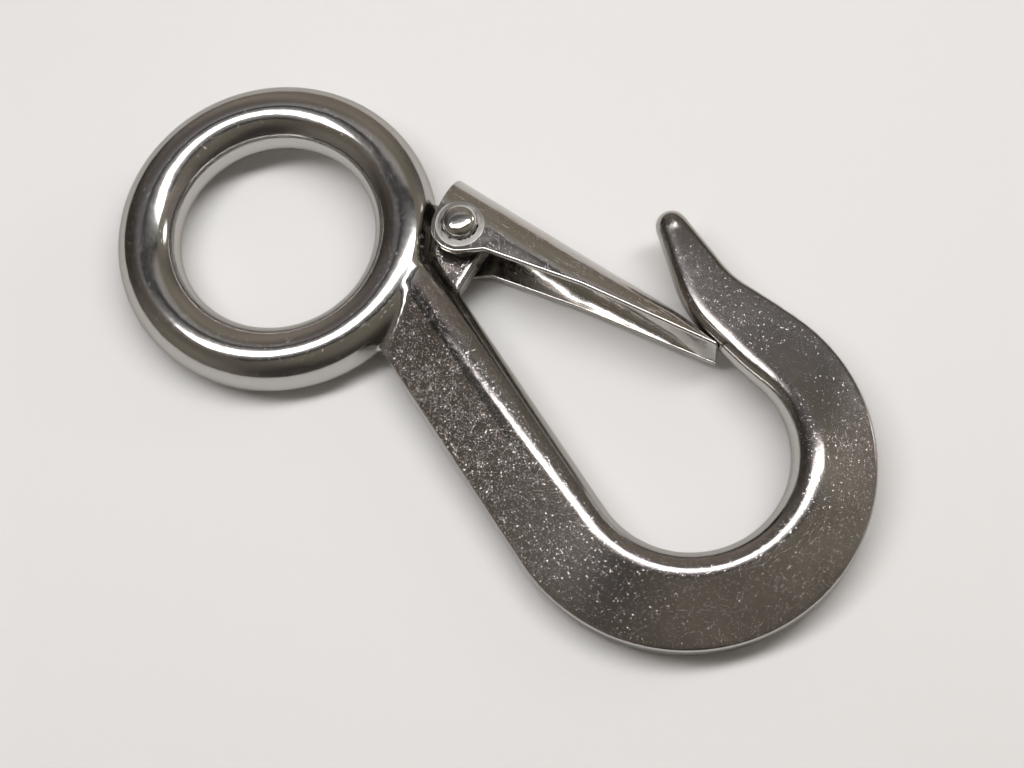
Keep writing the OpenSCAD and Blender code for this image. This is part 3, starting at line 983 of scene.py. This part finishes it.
def rivet_metal(finish):
    """Bright turned head with faint marks."""
    metal = Metal("Rivet", finish.rivet)
    marks = metal.effect("Fine Scratches", scratch_group, Turn=1.7, Amount=0.3)
    hands = metal.effect("Handling", handling_group, Size=0.003)
    metal.rough(0.12 + hands["Haze"] * 0.05 + marks["Mask"] * 0.1)
    metal.tint((hands["Haze"] * 0.4, shade(finish.rivet, 0.8)))
    metal.bump(hands["Waves"], 0.00003)
    return metal.material


def wire_metal(finish):
    """Drawn spring wire with a faint grain."""
    metal = Metal("Spring Wire", shade(finish.rivet, 0.85))
    grain = metal.effect("Tumbled Grain", grain_group, Size=0.00015)
    hands = metal.effect("Handling", handling_group, Size=0.004)
    metal.rough(0.2 + hands["Haze"] * 0.08)
    metal.tint((hands["Haze"] * 0.5, shade(finish.rivet, 0.65)))
    metal.bump(grain["Grain"], 0.000005)
    return metal.material


# ---- studio


def centre_of_mass(nodes):
    """Centre of mass of all the CAD solids, taken as one metal."""
    total, weighted = 0.0, Vector((0, 0, 0))
    for node in nodes:
        bm = bmesh.new()
        bm.from_mesh(node.data)
        bmesh.ops.triangulate(bm, faces=bm.faces)
        for face in bm.faces:
            a, b, c = (v.co for v in face.verts)
            part = a.dot(b.cross(c)) / 6
            total += part
            weighted += part * (a + b + c) / 4
        bm.free()
    return weighted / total


def resting_plane(nodes):
    """Point and normal of the floor on which the object comes to rest, underside down."""
    bm = bmesh.new()
    for node in nodes:
        for v in node.data.vertices:
            if v.co.z < 0:
                bm.verts.new(v.co)
    bmesh.ops.convex_hull(bm, input=bm.verts)
    mass = centre_of_mass(nodes)
    found = None
    for face in bm.faces:
        up = -face.normal
        if up.z < 0.9 or len(face.verts) != 3:
            continue
        foot = mass - up * up.dot(mass - face.verts[0].co)
        a, b, c = (v.co for v in face.verts)
        sides = [(q - p).cross(foot - p).dot(face.normal) for p, q in ((a, b), (b, c), (c, a))]
        if min(sides) >= 0:
            found = (a.copy(), up.copy())
            break
    bm.free()
    if found is None:
        raise RuntimeError("the object has no resting plane")
    return found


def floor_material(finish):
    material = bpy.data.materials.new("Floor")
    material.use_nodes = True
    tree = material.node_tree
    shader = tree.nodes["Principled BSDF"]
    shader.inputs["Roughness"].default_value = 0.85
    shader.inputs["Specular IOR Level"].default_value = 0.15
    at = tree.nodes.new("ShaderNodeTexCoord").outputs["Object"]
    cloud = ramp(noise(tree, at, 9.0, Detail=3.0), 0.3, 0.7)
    tone = blended(tree, cloud, (*finish.floor, 1), (*shade(finish.floor, 0.985), 1))
    feed(tree, shader.inputs["Base Color"], tone)
    return material


def lamp_material(radiance, tone):
    """Bright core with a faint glow that fades towards the long edges of the strip."""
    material = bpy.data.materials.new("Strip Lamp")
    material.use_nodes = True
    tree = material.node_tree
    tree.nodes.clear()
    across = add_node(tree, "ShaderNodeAttribute", attribute_name="across").outputs["Fac"]
    out = one("ABSOLUTE", Formula(tree, across))
    strength = ramp(out, 0.34, 0.14) * radiance + (1.0 - out) ** 1.5
    glow = add_node(tree, "ShaderNodeEmission", {"Color": (*tone, 1), "Strength": strength})
    add_node(tree, "ShaderNodeOutputMaterial", {0: glow.outputs[0]})
    return material


def strip_lamp(start, end, width, radiance, tone, columns=8):
    """A long soft lamp that faces down, from start to end in metres."""
    start, end = Vector(start), Vector(end)
    side = (end - start).normalized().cross(Vector((0, 0, 1))) * width / 2
    across = [2 * k / columns - 1 for k in range(columns + 1)]
    vertices = [at + t * side for t in across for at in (start, end)]
    faces = [(a, a + 1, a + 3, a + 2) for a in range(0, 2 * columns, 2)]
    lamp = mesh_object("strip_lamp", vertices, faces, lamp_material(radiance, tone))
    made = lamp.data.attributes.new("across", "FLOAT", "POINT")
    made.data.foreach_set("value", np.repeat(across, 2).astype(np.float32))
    lamp.visible_camera = False
    lamp.visible_shadow = False


def sky_patch(tree, heading, azimuth, polar, inner, outer, rgb):
    """Soft round patch in the sky; angles in degrees, polar from straight up."""
    a, p = math.radians(azimuth), math.radians(polar)
    aim = (math.sin(p) * math.cos(a), math.sin(p) * math.sin(a), math.cos(p))
    near = Formula(tree, vector_math(tree, "DOT_PRODUCT", heading, aim))
    mask = ramp(near, math.cos(math.radians(outer)), math.cos(math.radians(inner)))
    return vector_math(tree, "SCALE", rgb, mask)


FLOOR_REACH = 2.5
LAMP_ENDS = ((-0.195, -0.166, 0.45), (0.276, 0.331, 0.45))
LAMP_WIDTH, LAMP_RADIANCE, LAMP_TONE = 0.4, 10.0, (1.0, 0.985, 0.985)
ROOM_DARK = (0.065, 0.056, 0.050)
ROOM_PATCHES = (
    # azimuth, polar angle, inner and outer radius, radiance
    (55, 71, 3, 7, (6.0, 5.9, 5.8)),
    (0, 35, 0, 48, (0.15, 0.14, 0.11)),
    (40, 86, 0, 48, (0.20, 0.175, 0.165)),
    (80, 35, 0, 48, (0.17, 0.16, 0.12)),
    (120, 86, 0, 48, (0.22, 0.19, 0.16)),
    (150, 60, 0, 30, (0.10, 0.09, 0.085)),
    (240, 35, 0, 48, (0.10, 0.09, 0.07)),
    (245, 90, 0, 48, (0.14, 0.13, 0.11)),
    (90, 20, 0, 30, (0.30, 0.29, 0.33)),
    (180, 20, 0, 30, (0.13, 0.13, 0.16)),
)


def room_light():
    """The room round the object: dark, with a few soft patches of light."""
    world = bpy.data.worlds.new("Room")
    bpy.context.scene.world = world
    world.use_nodes = True
    tree = world.node_tree
    heading = tree.nodes.new("ShaderNodeTexCoord").outputs["Generated"]
    light = ROOM_DARK
    for patch in ROOM_PATCHES:
        light = vector_math(tree, "ADD", sky_patch(tree, heading, *patch), light)
    feed(tree, tree.nodes["Background"].inputs["Color"], light)


CAMERA_PLACE = Vector((108.53, -68.33, 274.11)) * MM
CAMERA_TARGET = Vector((42.66, -2.99, 0.0)) * MM
CAMERA_UP = Vector((-0.459855, 0.832515, 0.308952))
CAMERA_LENS = 70.3


def make_camera():
    data = bpy.data.cameras.new("Camera")
    data.lens = CAMERA_LENS
    data.sensor_width = 36.0
    data.clip_start, data.clip_end = 0.005, 20.0
    camera = link(bpy.data.objects.new("Camera", data))
    back = (CAMERA_PLACE - CAMERA_TARGET).normalized()
    right = CAMERA_UP.cross(back).normalized()
    up = back.cross(right)
    turn = Matrix((right, up, back)).transposed().to_4x4()
    camera.matrix_world = Matrix.Translation(CAMERA_PLACE) @ turn
    bpy.context.scene.camera = camera


# ---- operators


class FORGING_OT_make(bpy.types.Operator):
    """Forge the hook body in one skin: eye, shank, bowl, point and the lug of the rivet"""

    bl_idname = "sling_hook.forging"
    bl_label = "Forging"

    def execute(self, context):
        chosen = settings(context)
        g = Measures(chosen.forging)
        pad = 1.0  # empty space round the forging, in millimetres
        low, high = (Vector(corner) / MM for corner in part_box("hook_body"))
        low, high = low - Vector((pad,) * 3), high + Vector((pad,) * 3)
        cells = {"Cells " + axis: round(span / g.cell) + 1
                 for axis, span in zip("XYZ", high - low)}
        body = run_tree("forged_body", forging_tree(g), {
            "Low Corner": low, "High Corner": high, **cells,
            "Metal": forging_metal(chosen.finish, g.lean),
        })
        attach(body, "hook")
        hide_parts("hook_body")
        return {"FINISHED"}


class LATCH_OT_make(bpy.types.Operator):
    """Fold the safety latch from sheet and press the seats for the rivet"""

    bl_idname = "sling_hook.latch"
    bl_label = "Latch"

    def execute(self, context):
        chosen = settings(context)
        metal = latch_metal(chosen.finish, chosen.latch.seat / MM / 2)
        latch = latch_object(chosen.latch, Measures(chosen.forging), metal)
        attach(latch, "latch")
        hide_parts("latch")
        return {"FINISHED"}


class RIVET_OT_make(bpy.types.Operator):
    """Turn the rivet with its domed upper head and its flatter lower head"""

    bl_idname = "sling_hook.rivet"
    bl_label = "Rivet"

    def execute(self, context):
        chosen = settings(context)
        profile = rivet_profile(chosen.rivet)
        rivet = lathe("hinge_rivet", profile, at_pivot(0), rivet_metal(chosen.finish))
        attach(rivet, "latch")
        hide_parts("pivot_rivet")
        return {"FINISHED"}


class SPRING_OT_make(bpy.types.Operator):
    """Wind the double torsion spring that closes the latch"""

    bl_idname = "sling_hook.spring"
    bl_label = "Spring"

    def execute(self, context):
        chosen = settings(context)
        shape = LatchShape(chosen.latch, Measures(chosen.forging))
        place = at_pivot(shape.aim)
        points = [place @ p for p in spring_route(chosen.rivet, shape.aim)]
        route = bpy.data.meshes.new("spring_route")
        route.from_pydata(points, [(i, i + 1) for i in range(len(points) - 1)], [])
        spring = run_tree("closing_spring", wire_tree(), {
            "Radius": chosen.rivet.wire / 2, "Metal": wire_metal(chosen.finish),
        }, route)
        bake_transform(spring)
        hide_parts("latch_spring")
        return {"FINISHED"}


class STUDIO_OT_make(bpy.types.Operator):
    """Lay the pale floor under the resting object, and set the lamps and the camera"""

    bl_idname = "sling_hook.studio"
    bl_label = "Studio"

    def execute(self, context):
        chosen = settings(context)
        touch, up = resting_plane(frame["nodes"].values())
        turn = up.to_track_quat("Z", "Y").to_matrix()
        corners = [(-1, -1, 0), (1, -1, 0), (1, 1, 0), (-1, 1, 0)]
        vertices = [touch + turn @ (FLOOR_REACH * Vector(corner)) for corner in corners]
        floor = mesh_object("floor", vertices, [(0, 1, 2, 3)], floor_material(chosen.finish))
        strip_lamp(*LAMP_ENDS, LAMP_WIDTH, LAMP_RADIANCE, LAMP_TONE)
        room_light()
        make_camera()
        context.scene.view_settings.view_transform = "Standard"
        return {"FINISHED"}


class STUDIO_PT_panel(bpy.types.Panel):
    bl_label = "Sling Hook"
    bl_idname = "STUDIO_PT_panel"
    bl_space_type = "VIEW_3D"
    bl_region_type = "UI"
    bl_category = "Sling Hook"

    def draw(self, context):
        chosen = settings(context)
        for title, operator, group in (
            ("Forging", FORGING_OT_make, chosen.forging),
            ("Latch", LATCH_OT_make, chosen.latch),
            ("Rivet", RIVET_OT_make, chosen.rivet),
            ("Spring", SPRING_OT_make, None),
            ("Studio", STUDIO_OT_make, chosen.finish),
        ):
            box = self.layout.box()
            box.label(text=title)
            if group is not None:
                for key in group.__annotations__:
                    box.prop(group, key)
            box.operator(operator.bl_idname)


class SlingHookSettings(bpy.types.PropertyGroup):
    """Everything that may be changed on the hook."""

    forging: bpy.props.PointerProperty(name="Forging", type=ForgingSettings)
    latch: bpy.props.PointerProperty(name="Latch", type=LatchSettings)
    rivet: bpy.props.PointerProperty(name="Rivet", type=RivetSettings)
    finish: bpy.props.PointerProperty(name="Finish", type=FinishSettings)


CLASSES = (
    ForgingSettings, LatchSettings, RivetSettings, FinishSettings, SlingHookSettings,
    FORGING_OT_make, LATCH_OT_make, RIVET_OT_make, SPRING_OT_make, STUDIO_OT_make,
    STUDIO_PT_panel,
)


def register():
    for cls in CLASSES:
        bpy.utils.register_class(cls)
    bpy.types.Scene.sling_hook = bpy.props.PointerProperty(type=SlingHookSettings)


def unregister():
    del bpy.types.Scene.sling_hook
    for cls in reversed(CLASSES):
        bpy.utils.unregister_class(cls)


def main():
    register()
    bpy.ops.sling_hook.forging()
    bpy.ops.sling_hook.latch()
    bpy.ops.sling_hook.rivet()
    bpy.ops.sling_hook.spring()
    bpy.ops.sling_hook.studio()


if __name__ == "__main__":
    main()
